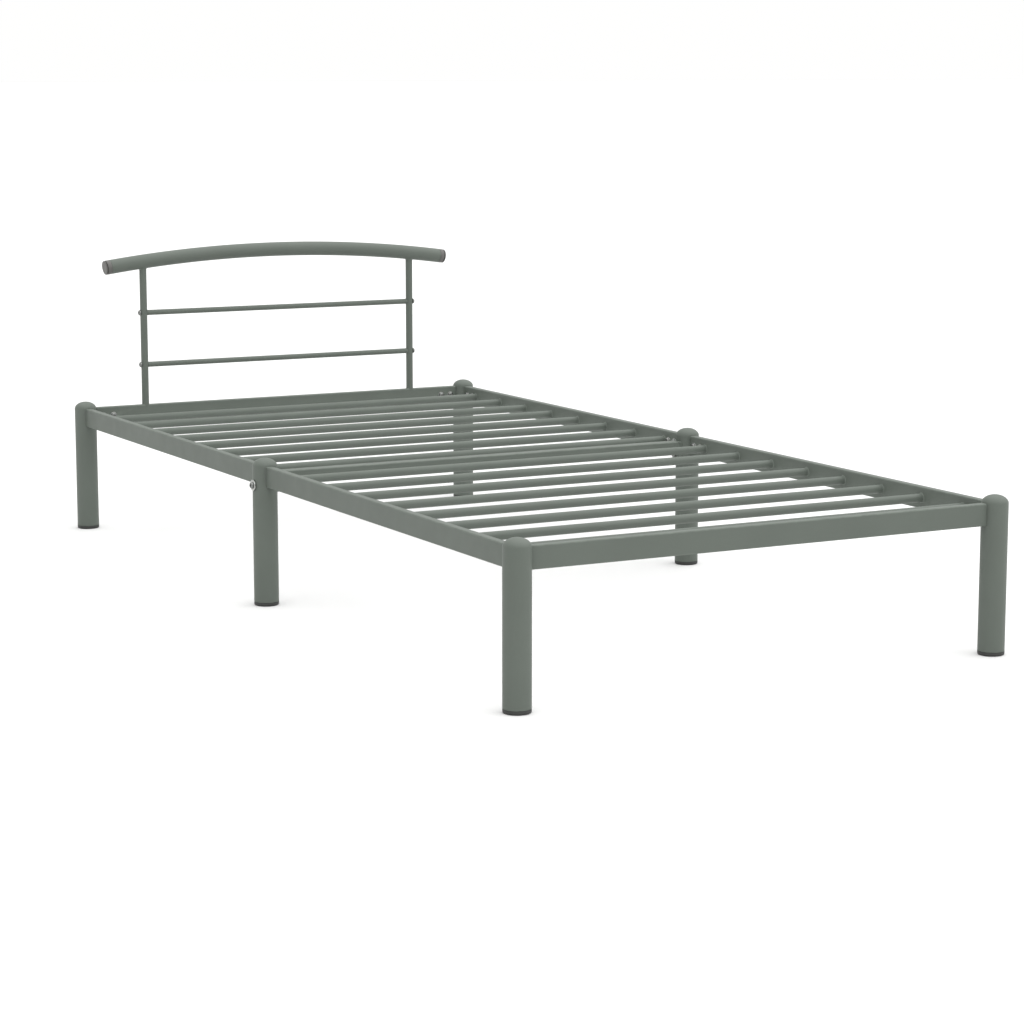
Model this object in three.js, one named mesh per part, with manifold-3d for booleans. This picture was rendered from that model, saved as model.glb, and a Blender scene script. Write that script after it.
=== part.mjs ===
// Metal single bed frame: six round legs, rectangular rails, round slats and an arched headboard.
// Millimetres. X is across the bed, +Y points to the head end and +Z is up.
// The origin is on the floor, under the middle of the bed.

import * as THREE from 'three';
import { mergeVertices } from 'three/addons/utils/BufferGeometryUtils.js';
import Module from 'manifold-3d';

const wasm = await Module();
wasm.setup();

// Overall sizes, over the legs and to the top of the arch
const BED_LENGTH = 2100;
const BED_WIDTH = 1000;
const BED_HEIGHT = 630;

// Fits
const GAP = 0.3; // between pieces that touch
const MERGE_DISTANCE = 1e-4; // points closer than this are one point
const SPIGOT_CLEARANCE = 0.3; // round a spigot inside its tube
const HOLE_CLEARANCE = 0.4; // round a bolt inside its hole

// Legs
const LEG_DIAMETER = 48;
const LEG_WALL = 1.5;
const SHOULDER_DROP = 1.5; // from the rails' top face down to where the domed top starts
const DOME_RISE = 15.5;
const DOME_STEPS = 3;
const LEG_SIDES = 20;

// Foot caps
const CAP_LIP = 7; // height of the part that shows under the leg
const CAP_EDGE = 3; // rounding at the floor
const CAP_FLOOR = 4; // thickness under the hollow spigot
const CAP_SPIGOT = 20; // how far the spigot goes up into the leg
const CAP_WALL = 2.5;
const CAP_EDGE_STEPS = 2;

// Rails
const RAIL_HEIGHT = 40;
const RAIL_THICKNESS = 15;
const RAIL_WALL = 1.5;
const RAIL_CORNER = 2.5;
const RAIL_MID_HEIGHT = 252.5;
const CORNER_STEPS = 1; // pairs of steps round each corner

// Rail brackets and their bolts
const TONGUE_SIDE_CLEARANCE = 2; // on each side of the tongue, inside the rail
const TONGUE_EDGE_CLEARANCE = 3.5; // above and below the tongue, inside the rail
const TONGUE_END = 15; // from the last bolt to the end of the tongue
const RAIL_BOLT_OFFSET = 15; // from the leg's face to the first bolt
const RAIL_BOLT_PITCH = 24;
const RAIL_BOLT = { shank: 8, head: 13, headHeight: 4.4, washer: 16, washerHeight: 1.2 };
const BOLT_SIDES = 8;
const HEAD_STEPS = 2;

// Slats
const SLAT_DIAMETER = 16;
const SLAT_WALL = 1.2;
const SLATS_PER_HALF = 8;
const SLAT_BOLT_SPACE = 18.5; // from a leg's last rail bolt to the slat nearest to it
const SLAT_SIDES = 12;

// Centre cross tube and the bolts that hold it to the mid legs
const CROSS_WIDTH = 25;
const CROSS_HEIGHT = 15;
const SADDLE_HEIGHT = 40;
const SADDLE_THICKNESS = 4.5;
const CENTRE_BOLT_DROP = 10.5; // from the cross tube's underside down to the bolt's axis
const CENTRE_BOLT = { shank: 8, head: 13, headHeight: 4.6, washer: 22, washerHeight: 1.8 };
const NUT_SIDES = 6;
const NUT_FLATS = 13;
const NUT_HEIGHT = 6.5;
const BOLT_TIP = 2; // how far the bolt shows past its nut

// Headboard
const ARCH_DIAMETER = 32;
const ARCH_WALL = 1.5;
const ARCH_SPAN = 848; // end to end, over the plugs
const ARCH_RISE = 30; // of the tube's axis, from the ends to the middle
const ARCH_STEPS = 12;
const ARCH_SIDES = 16;
const PLUG_LIP = 14; // length of the plug that shows
const PLUG_EDGE = 4;
const PLUG_EDGE_STEPS = 2;
const PLUG_SPIGOT = 14;
const UPRIGHT_DIAMETER = 16;
const UPRIGHT_WALL = 1.2;
const UPRIGHT_SPACING = 666; // axis to axis
const UPRIGHT_SIDES = 12;
const ROD_DIAMETER = 12;
const ROD_SIDES = 12;
const ROD_FOOT_SPACE = 90.5; // from the head rail's top face up to the lower rod's axis
const ROD_BORE_DEPTH = 25;
const ROD_SCREW = { shank: 6, head: 12.4, headHeight: 4.2, length: 34 };

// Sizes worked out from those above
const LEG_RADIUS = LEG_DIAMETER / 2;
const LEG_X = BED_WIDTH / 2 - LEG_RADIUS;
const LEG_Y = BED_LENGTH / 2 - LEG_RADIUS;
const SIDES = { left: -1, right: 1 };
const LEG_ROWS = { head: LEG_Y, mid: 0, foot: -LEG_Y };
const RAIL_TOP = RAIL_MID_HEIGHT + RAIL_HEIGHT / 2;
const LEG_SHOULDER = RAIL_TOP - SHOULDER_DROP;
const TONGUE_THICKNESS = RAIL_THICKNESS - 2 * (RAIL_WALL + TONGUE_SIDE_CLEARANCE);
const TONGUE_HEIGHT = RAIL_HEIGHT - 2 * (RAIL_WALL + TONGUE_EDGE_CLEARANCE);
const RAIL_BOLT_FIRST = LEG_RADIUS + RAIL_BOLT_OFFSET; // these two are from the leg's axis
const RAIL_BOLT_LAST = RAIL_BOLT_FIRST + RAIL_BOLT_PITCH;
const SLAT_TOP = RAIL_MID_HEIGHT + SLAT_DIAMETER / 2;
const SLAT_END_SPACE = RAIL_BOLT_LAST + SLAT_BOLT_SPACE; // from a leg's axis to the slat nearest to it
const SLAT_LENGTH = 2 * LEG_X - RAIL_THICKNESS - 2 * GAP;
const SLAT_PITCH = (LEG_Y - 2 * SLAT_END_SPACE) / (SLATS_PER_HALF - 1);
const CROSS_MID_HEIGHT = SLAT_TOP - CROSS_HEIGHT / 2; // the cross tube's top is level with the slats'
const SADDLE_FACE = LEG_RADIUS + GAP + SADDLE_THICKNESS; // from a mid leg's axis to the saddle's flat face
const CENTRE_BOLT_HEIGHT = SLAT_TOP - CROSS_HEIGHT - CENTRE_BOLT_DROP;
const NUT_DIAMETER = NUT_FLATS / Math.cos(Math.PI / NUT_SIDES); // across its corners
const ARCH_TOP_AXIS = BED_HEIGHT - ARCH_DIAMETER / 2;
const ARCH_RADIUS = ((ARCH_SPAN / 2) ** 2 + ARCH_RISE ** 2) / (2 * ARCH_RISE);
const ARCH_END_ANGLE = Math.asin(ARCH_SPAN / 2 / ARCH_RADIUS);
const ARCH_TUBE_ANGLE = ARCH_END_ANGLE - (PLUG_LIP + GAP) / ARCH_RADIUS;
const LOWER_ROD_HEIGHT = RAIL_TOP + ROD_FOOT_SPACE;
const UPPER_ROD_HEIGHT = (LOWER_ROD_HEIGHT + BED_HEIGHT - ARCH_DIAMETER) / 2; // half way up to the arch
const ROD_HEIGHTS = { lower: LOWER_ROD_HEIGHT, upper: UPPER_ROD_HEIGHT };

// Finishes
const paint = new THREE.MeshStandardMaterial({ color: 0x6f766f, roughness: 0.55, metalness: 0.3 });
const plastic = new THREE.MeshStandardMaterial({ color: 0x40423f, roughness: 0.6, metalness: 0 });
const plugPlastic = new THREE.MeshStandardMaterial({ color: 0x6b6b68, roughness: 0.6, metalness: 0 });
const zinc = new THREE.MeshStandardMaterial({ color: 0xc4c8c6, roughness: 0.35, metalness: 1 });

const bed = new THREE.Group();

// ---- Solids ----

/** A solid for cutting and joining, from a closed three.js geometry. */
function solidOf(geometry) {
  const bare = geometry.clone();
  bare.deleteAttribute('normal');
  bare.deleteAttribute('uv');
  const merged = mergeVertices(bare, MERGE_DISTANCE);
  const mesh = new wasm.Mesh({
    numProp: 3,
    vertProperties: Float32Array.from(merged.attributes.position.array),
    triVerts: Uint32Array.from(merged.index.array),
  });
  return new wasm.Manifold(mesh);
}

/** A three.js geometry from a solid. */
function geometryOf(solid) {
  const { vertProperties, triVerts } = solid.getMesh();
  const geometry = new THREE.BufferGeometry();
  geometry.setAttribute('position', new THREE.BufferAttribute(vertProperties, 3));
  geometry.setIndex(new THREE.BufferAttribute(triVerts, 1));
  geometry.computeVertexNormals();
  return geometry;
}

/** The first geometry, less all the others. */
function cut(geometry, ...tools) {
  return geometryOf(tools.reduce((body, tool) => body.subtract(solidOf(tool)), solidOf(geometry)));
}

/** All the geometries as one body. */
function join(...geometries) {
  return geometryOf(geometries.map(solidOf).reduce((body, other) => body.add(other)));
}

/** A body turned about Z from [radius, height] points that run up the outside. */
function turned(points, sides) {
  const profile = points.map(([radius, height]) => (
    new THREE.Vector2(radius < MERGE_DISTANCE ? 0 : radius, height)
  ));
  return new THREE.LatheGeometry(profile, sides).rotateX(Math.PI / 2);
}

/** A round tube along Z, centred on the origin. */
function roundTube(diameter, wall, length, sides) {
  const outer = diameter / 2;
  const inner = outer - wall;
  const half = length / 2;
  return turned([[inner, -half], [outer, -half], [outer, half], [inner, half], [inner, -half]], sides);
}

/** A round bar along Z, centred on the origin. */
function roundBar(diameter, length, sides) {
  return new THREE.CylinderGeometry(diameter / 2, diameter / 2, length, sides).rotateX(Math.PI / 2);
}

/** A quarter ellipse of [radius, height] points, from its widest ring to its top. */
function quarterDome(centreRadius, baseHeight, reach, rise, steps) {
  const points = [];
  for (let step = 0; step <= steps; step += 1) {
    const angle = (step / steps) * (Math.PI / 2);
    points.push([centreRadius + reach * Math.cos(angle), baseHeight + rise * Math.sin(angle)]);
  }
  return points;
}

/** Draws a rectangle with round corners on a shape or a path, centred on the origin. */
function roundedRectangle(outline, width, height, corner) {
  const x = width / 2 - corner;
  const y = height / 2 - corner;
  const quarter = Math.PI / 2;
  outline.absarc(x, y, corner, 0, quarter);
  outline.absarc(-x, y, corner, quarter, 2 * quarter);
  outline.absarc(-x, -y, corner, 2 * quarter, 3 * quarter);
  outline.absarc(x, -y, corner, 3 * quarter, 4 * quarter);
  outline.closePath();
  return outline;
}

/** A section extruded along Z, centred on the origin. */
function extruded(section, length) {
  const settings = { depth: length, bevelEnabled: false, curveSegments: CORNER_STEPS };
  return new THREE.ExtrudeGeometry(section, settings).translate(0, 0, -length / 2);
}

/** A button-head bolt along Z: its head points to +Z, and its seat is at the origin. */
function buttonBolt({ shank, head, headHeight, washer = head, washerHeight = 0 }, reach) {
  const points = [[0, -reach], [shank / 2, -reach], [shank / 2, 0]];
  if (washerHeight > 0) {
    points.push([washer / 2, 0], [washer / 2, washerHeight]);
  }
  points.push(...quarterDome(0, washerHeight, head / 2, headHeight, HEAD_STEPS));
  return turned(points, BOLT_SIDES);
}

/** A cylinder along Y that clears a leg, for saddle cuts. */
function legTool() {
  const diameter = LEG_DIAMETER + 2 * GAP;
  return roundBar(diameter, BED_HEIGHT, LEG_SIDES).rotateX(Math.PI / 2);
}

// ---- Placing ----

/** Names a piece and adds it to its group. */
function addPiece(group, name, geometry, material) {
  const mesh = new THREE.Mesh(geometry, material);
  mesh.name = name;
  group.add(mesh);
  return mesh;
}

/** Turns an object so that its own X points across and its own Y points up. */
function orient(object, across) {
  const up = new THREE.Vector3(0, 0, 1);
  const along = new THREE.Vector3().crossVectors(across, up);
  object.quaternion.setFromRotationMatrix(new THREE.Matrix4().makeBasis(across, up, along));
  return object;
}

// ---- Legs and feet ----

/** A leg: a tube with an open bottom and a closed, domed top. */
function legGeometry() {
  const inner = LEG_RADIUS - LEG_WALL;
  const bottom = CAP_LIP + GAP;
  const innerDome = quarterDome(0, LEG_SHOULDER, inner, DOME_RISE - LEG_WALL, DOME_STEPS).reverse();
  const outerDome = quarterDome(0, LEG_SHOULDER, LEG_RADIUS, DOME_RISE, DOME_STEPS);
  return turned([...innerDome, [inner, bottom], [LEG_RADIUS, bottom], ...outerDome], LEG_SIDES);
}

/** A foot cap with a rounded floor edge and a hollow spigot. */
function footCapGeometry() {
  const spigot = LEG_RADIUS - LEG_WALL - SPIGOT_CLEARANCE;
  const top = CAP_LIP + CAP_SPIGOT;
  const edge = quarterDome(LEG_RADIUS - CAP_EDGE, CAP_EDGE, CAP_EDGE, -CAP_EDGE, CAP_EDGE_STEPS);
  return turned([
    [0, 0],
    ...edge.reverse(),
    [LEG_RADIUS, CAP_LIP],
    [spigot, CAP_LIP],
    [spigot, top],
    [spigot - CAP_WALL, top],
    [spigot - CAP_WALL, CAP_FLOOR],
    [0, CAP_FLOOR],
  ], LEG_SIDES);
}

/** A mid leg: the same leg with a hole across it for the centre bolt. */
function midLegGeometry() {
  const hole = roundBar(CENTRE_BOLT.shank + 2 * HOLE_CLEARANCE, 2 * LEG_DIAMETER, BOLT_SIDES);
  hole.rotateY(Math.PI / 2).translate(0, 0, CENTRE_BOLT_HEIGHT);
  return cut(legGeometry(), hole);
}

for (const [row, y] of Object.entries(LEG_ROWS)) {
  for (const [side, sign] of Object.entries(SIDES)) {
    const post = new THREE.Group();
    post.position.set(sign * LEG_X, y, 0);
    addPiece(post, `leg_${row}_${side}`, row === 'mid' ? midLegGeometry() : legGeometry(), paint);
    addPiece(post, `foot_cap_${row}_${side}`, footCapGeometry(), plastic);
    bed.add(post);
  }
}

// ---- Rails and their brackets ----

/** A rail along Z, with a saddle at each end and bolt holes in the wall that faces +X. */
function railGeometry(span) {
  const tools = [];
  for (const end of [-1, 1]) {
    tools.push(legTool().translate(0, 0, (end * span) / 2));
    for (const place of [RAIL_BOLT_FIRST, RAIL_BOLT_LAST]) {
      const hole = roundBar(RAIL_BOLT.shank + 2 * HOLE_CLEARANCE, RAIL_THICKNESS, BOLT_SIDES);
      hole.rotateY(Math.PI / 2).translate(RAIL_THICKNESS / 2, 0, end * (span / 2 - place));
      tools.push(hole);
    }
  }
  const section = roundedRectangle(new THREE.Shape(), RAIL_THICKNESS, RAIL_HEIGHT, RAIL_CORNER);
  section.holes.push(roundedRectangle(
    new THREE.Path(),
    RAIL_THICKNESS - 2 * RAIL_WALL,
    RAIL_HEIGHT - 2 * RAIL_WALL,
    RAIL_CORNER - RAIL_WALL,
  ));
  return cut(extruded(section, span), ...tools);
}

/** A bracket for the +Z end of a rail, with its two bolts; the leg's axis is at the origin. */
function bracketGeometry() {
  const reach = RAIL_BOLT_LAST + TONGUE_END;
  const tongue = new THREE.BoxGeometry(TONGUE_THICKNESS, TONGUE_HEIGHT, reach).translate(0, 0, -reach / 2);
  const seat = RAIL_THICKNESS / 2 + GAP;
  const bolts = [RAIL_BOLT_FIRST, RAIL_BOLT_LAST].map((place) => (
    buttonBolt(RAIL_BOLT, seat).rotateY(Math.PI / 2).translate(seat, 0, -place)
  ));
  return join(cut(tongue, legTool()), ...bolts);
}

/** A rail between two legs with a bracket in each end; across points to the inside of the bed. */
function addRail(name, middle, across, span, endNames) {
  const group = orient(new THREE.Group(), across);
  group.position.copy(middle).setZ(RAIL_MID_HEIGHT);
  addPiece(group, name, railGeometry(span), paint);
  const along = new THREE.Vector3(0, 0, 1).applyQuaternion(group.quaternion);
  for (const end of [-1, 1]) {
    const toPlus = end * (along.x + along.y) > 0;
    const bracket = addPiece(group, `${name}_bracket_${endNames[toPlus ? 1 : 0]}`, bracketGeometry(), zinc);
    bracket.position.z = (end * span) / 2;
    bracket.rotation.x = end > 0 ? 0 : Math.PI;
  }
  bed.add(group);
}

for (const [row, sign] of Object.entries({ head: 1, foot: -1 })) {
  const inward = new THREE.Vector3(0, -sign, 0);
  addRail(`${row}_rail`, new THREE.Vector3(0, sign * LEG_Y, 0), inward, 2 * LEG_X, ['left', 'right']);
}
for (const [side, sign] of Object.entries(SIDES)) {
  const inward = new THREE.Vector3(-sign, 0, 0);
  const x = sign * LEG_X;
  addRail(`side_rail_head_${side}`, new THREE.Vector3(x, LEG_Y / 2, 0), inward, LEG_Y, ['mid', 'head']);
  addRail(`side_rail_foot_${side}`, new THREE.Vector3(x, -LEG_Y / 2, 0), inward, LEG_Y, ['foot', 'mid']);
}

// ---- Slats ----

/** Slat places from the head end to the foot end. */
function slatPlaces() {
  const half = Array.from({ length: SLATS_PER_HALF }, (_, index) => SLAT_END_SPACE + index * SLAT_PITCH);
  return [...half.toReversed(), ...half.map((place) => -place)];
}

slatPlaces().forEach((y, index) => {
  const tube = roundTube(SLAT_DIAMETER, SLAT_WALL, SLAT_LENGTH, SLAT_SIDES);
  const name = `slat_${String(index + 1).padStart(2, '0')}`;
  const slat = addPiece(bed, name, tube, paint);
  slat.position.set(0, y, RAIL_MID_HEIGHT);
  slat.rotation.y = Math.PI / 2;
});

// ---- Centre cross tube and its bolts ----

/** The cross tube along Z, open at both ends, with a saddle plate against each mid leg. */
function crossTubeGeometry() {
  const tubeLength = 2 * (LEG_X - SADDLE_FACE) + SADDLE_THICKNESS;
  const section = roundedRectangle(new THREE.Shape(), CROSS_WIDTH, CROSS_HEIGHT, RAIL_CORNER);
  const bore = roundedRectangle(
    new THREE.Shape(),
    CROSS_WIDTH - 2 * RAIL_WALL,
    CROSS_HEIGHT - 2 * RAIL_WALL,
    RAIL_CORNER - RAIL_WALL,
  );
  const hole = roundBar(CENTRE_BOLT.shank + 2 * HOLE_CLEARANCE, 2 * LEG_X, BOLT_SIDES);
  hole.translate(0, CENTRE_BOLT_HEIGHT - CROSS_MID_HEIGHT, 0);
  const plates = [-1, 1].map((end) => (
    new THREE.BoxGeometry(CROSS_WIDTH, SADDLE_HEIGHT, SADDLE_FACE)
      .translate(0, (CROSS_HEIGHT - SADDLE_HEIGHT) / 2, end * (LEG_X - SADDLE_FACE / 2))
  ));
  const legTools = [-1, 1].map((end) => legTool().translate(0, 0, end * LEG_X));
  return cut(join(extruded(section, tubeLength), ...plates), extruded(bore, 2 * LEG_X), hole, ...legTools);
}

/** A centre bolt along Z with its washer and its nut; the leg's axis is at the origin. */
function centreBoltGeometry() {
  const seat = LEG_RADIUS + GAP;
  const nutFace = SADDLE_FACE + GAP;
  const nut = roundBar(NUT_DIAMETER, NUT_HEIGHT, NUT_SIDES).translate(0, 0, -nutFace - NUT_HEIGHT / 2);
  const bolt = buttonBolt(CENTRE_BOLT, seat + nutFace + NUT_HEIGHT + BOLT_TIP).translate(0, 0, seat);
  return join(bolt, nut);
}

const crossTube = addPiece(bed, 'centre_cross_tube', crossTubeGeometry(), paint);
orient(crossTube, new THREE.Vector3(0, 1, 0));
crossTube.position.z = CROSS_MID_HEIGHT;

for (const [side, sign] of Object.entries(SIDES)) {
  const bolt = addPiece(bed, `centre_bolt_${side}`, centreBoltGeometry(), zinc);
  bolt.position.set(sign * LEG_X, 0, CENTRE_BOLT_HEIGHT);
  bolt.rotation.y = sign * (Math.PI / 2);
}

// ---- Headboard ----

/** The height of the arch tube's axis at a distance from the middle of the bed. */
function archAxisHeight(x) {
  return ARCH_TOP_AXIS - ARCH_RADIUS + Math.sqrt(ARCH_RADIUS ** 2 - x ** 2);
}

/** The axis of the arch tube, in the plane of the headboard. */
class ArchAxis extends THREE.Curve {
  getPoint(t, target = new THREE.Vector3()) {
    const x = ARCH_RADIUS * Math.sin(ARCH_TUBE_ANGLE * (2 * t - 1));
    return target.set(x, 0, archAxisHeight(x));
  }
}

/** A disc's outline of the given radius, as a shape or as a hole. */
function disc(outline, radius) {
  return outline.absarc(0, 0, radius, 0, 2 * Math.PI);
}

/** A section swept along the arch. */
function swept(section) {
  const settings = { extrudePath: new ArchAxis(), steps: ARCH_STEPS, curveSegments: ARCH_SIDES / 2 };
  return new THREE.ExtrudeGeometry(section, settings);
}

/** The arch tube, open at both ends for its plugs. */
function archGeometry() {
  const section = disc(new THREE.Shape(), ARCH_DIAMETER / 2);
  section.holes.push(disc(new THREE.Path(), ARCH_DIAMETER / 2 - ARCH_WALL));
  return swept(section);
}

/** A plug that points to +Z; the end of the arch tube is at the origin. */
function archPlugGeometry() {
  const outer = ARCH_DIAMETER / 2;
  const spigot = outer - ARCH_WALL - SPIGOT_CLEARANCE;
  const end = GAP + PLUG_LIP;
  const edge = quarterDome(outer - PLUG_EDGE, end - PLUG_EDGE, PLUG_EDGE, PLUG_EDGE, PLUG_EDGE_STEPS);
  return turned([
    [0, -PLUG_SPIGOT],
    [spigot, -PLUG_SPIGOT],
    [spigot, GAP],
    [outer, GAP],
    ...edge,
    [0, end],
  ], ARCH_SIDES);
}

/** A hole along X for a rod screw. */
function rodScrewHole(length) {
  return roundBar(ROD_SCREW.shank + 2 * HOLE_CLEARANCE, length, BOLT_SIDES).rotateY(Math.PI / 2);
}

/** An upright between the head rail and the arch, in the plane of the headboard. */
function uprightGeometry(x) {
  const bottom = RAIL_TOP + GAP;
  const length = archAxisHeight(x) - bottom;
  const tube = roundTube(UPRIGHT_DIAMETER, UPRIGHT_WALL, length, UPRIGHT_SIDES);
  tube.translate(x, 0, bottom + length / 2);
  const holes = Object.values(ROD_HEIGHTS).map((height) => (
    rodScrewHole(2 * UPRIGHT_DIAMETER).translate(x, 0, height)
  ));
  return cut(tube, swept(disc(new THREE.Shape(), ARCH_DIAMETER / 2 + GAP)), ...holes);
}

/** A rod along X between the uprights, with a bore in each end for its screw. */
function rodGeometry() {
  const tools = [];
  for (const end of [-1, 1]) {
    const boreLength = 2 * (UPRIGHT_DIAMETER / 2 + ROD_BORE_DEPTH);
    const upright = roundBar(UPRIGHT_DIAMETER + 2 * GAP, 2 * UPRIGHT_DIAMETER, UPRIGHT_SIDES);
    tools.push(upright.translate((end * UPRIGHT_SPACING) / 2, 0, 0));
    tools.push(rodScrewHole(boreLength).translate((end * UPRIGHT_SPACING) / 2, 0, 0));
  }
  const bar = roundBar(ROD_DIAMETER, UPRIGHT_SPACING, ROD_SIDES).rotateY(Math.PI / 2);
  return cut(bar, ...tools);
}

const headboard = new THREE.Group();
headboard.position.y = LEG_Y;
bed.add(headboard);
addPiece(headboard, 'headboard_arch', archGeometry(), paint);

for (const [level, height] of Object.entries(ROD_HEIGHTS)) {
  addPiece(headboard, `headboard_rod_${level}`, rodGeometry(), paint).position.z = height;
}

for (const [side, sign] of Object.entries(SIDES)) {
  const x = (sign * UPRIGHT_SPACING) / 2;
  addPiece(headboard, `headboard_upright_${side}`, uprightGeometry(x), paint);

  const plug = addPiece(headboard, `arch_plug_${side}`, archPlugGeometry(), plugPlastic);
  const end = sign * ARCH_RADIUS * Math.sin(ARCH_TUBE_ANGLE);
  plug.position.set(end, 0, archAxisHeight(end));
  plug.rotation.y = sign * (Math.PI / 2 + ARCH_TUBE_ANGLE);

  for (const [level, height] of Object.entries(ROD_HEIGHTS)) {
    const geometry = buttonBolt(ROD_SCREW, ROD_SCREW.length);
    const screw = addPiece(headboard, `rod_screw_${level}_${side}`, geometry, zinc);
    screw.position.set(x + sign * (UPRIGHT_DIAMETER / 2 + GAP), 0, height);
    screw.rotation.y = sign * (Math.PI / 2);
  }
}

export default bed;
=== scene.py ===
"""Looks of a metal single bed frame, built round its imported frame.

Metres. X is across the bed, +Y is the head end and +Z is up.
"""

import logging
import math
from abc import ABC, abstractmethod
from collections.abc import Callable, Sequence
from dataclasses import dataclass, field
from enum import Enum

import bmesh
import bpy
from mathutils import Matrix, Vector


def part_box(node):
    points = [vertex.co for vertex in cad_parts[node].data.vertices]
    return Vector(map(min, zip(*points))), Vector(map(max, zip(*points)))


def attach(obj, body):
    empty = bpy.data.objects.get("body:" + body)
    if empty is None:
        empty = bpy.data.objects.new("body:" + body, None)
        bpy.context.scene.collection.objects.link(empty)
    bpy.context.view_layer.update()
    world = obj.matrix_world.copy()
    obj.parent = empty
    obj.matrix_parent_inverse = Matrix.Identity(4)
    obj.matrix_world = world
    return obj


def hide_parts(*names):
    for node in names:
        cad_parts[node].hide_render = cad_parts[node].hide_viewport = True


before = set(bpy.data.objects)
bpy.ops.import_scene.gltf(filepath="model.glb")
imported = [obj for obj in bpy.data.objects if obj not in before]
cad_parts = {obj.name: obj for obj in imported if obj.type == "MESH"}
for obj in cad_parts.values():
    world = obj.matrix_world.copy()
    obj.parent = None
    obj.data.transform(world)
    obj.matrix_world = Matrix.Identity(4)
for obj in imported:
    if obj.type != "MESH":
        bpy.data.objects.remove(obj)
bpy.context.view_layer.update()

TURN = 2 * math.pi
MM = 0.001
ACROSS = Vector((1, 0, 0))
LENGTHWAYS = Vector((0, 1, 0))
UP = Vector((0, 0, 1))

# Sizes that several sub-assemblies share
FIT = 0.3 * MM  # the gap between pieces that touch
TUBE_WALL = 1.5 * MM
THIN_WALL = 1.2 * MM
TUBE_CORNER = 2.5 * MM
LEG_RADIUS = 24 * MM
BOLT_HOLE_RADIUS = 4.4 * MM
TURNED_SIDES = 48

Colour = tuple[float, float, float]
Band = tuple[float, float]
Outline = list[Vector]
Ring = list[Vector]
Depth = Callable[[Vector], float]
log = logging.getLogger("bed")


class Slot(Enum):
    """The material slots that the record names."""

    PAINT = "paint"
    FOOT_PLASTIC = "foot_plastic"
    PLUG_PLASTIC = "plug_plastic"
    ZINC = "zinc"


class Side(Enum):
    """The two sides of the bed, seen from the foot, with their sign along X."""

    LEFT = -1
    RIGHT = 1

    @property
    def word(self) -> str:
        """The side as it stands in a node's name."""
        return self.name.lower()


class Row(Enum):
    """The three rows of legs."""

    HEAD = "head"
    MID = "mid"
    FOOT = "foot"


class Level(Enum):
    """The headboard's two rods."""

    LOWER = "lower"
    UPPER = "upper"


# ---- Shading ----


class Value:
    """A node's output. Sums with it add Math nodes."""

    def __init__(self, sketch: "Sketch", socket: bpy.types.NodeSocket) -> None:
        """Wraps an output socket of a sketch's material."""
        self.sketch = sketch
        self.socket = socket

    def _sum(self, operation: str, first: "Value | float", second: "Value | float") -> "Value":
        """The result of a new Math node."""
        return self.sketch.add("ShaderNodeMath", {"operation": operation}, {0: first, 1: second})

    def __add__(self, other: "Value | float") -> "Value":
        """This value plus another."""
        return self._sum("ADD", self, other)

    def __radd__(self, other: float) -> "Value":
        """A number plus this value."""
        return self._sum("ADD", other, self)

    def __sub__(self, other: "Value | float") -> "Value":
        """This value less another."""
        return self._sum("SUBTRACT", self, other)

    def __rsub__(self, other: float) -> "Value":
        """A number less this value."""
        return self._sum("SUBTRACT", other, self)

    def __mul__(self, other: "Value | float") -> "Value":
        """This value times another."""
        return self._sum("MULTIPLY", self, other)

    def __rmul__(self, other: float) -> "Value":
        """A number times this value."""
        return self._sum("MULTIPLY", other, self)


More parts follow.
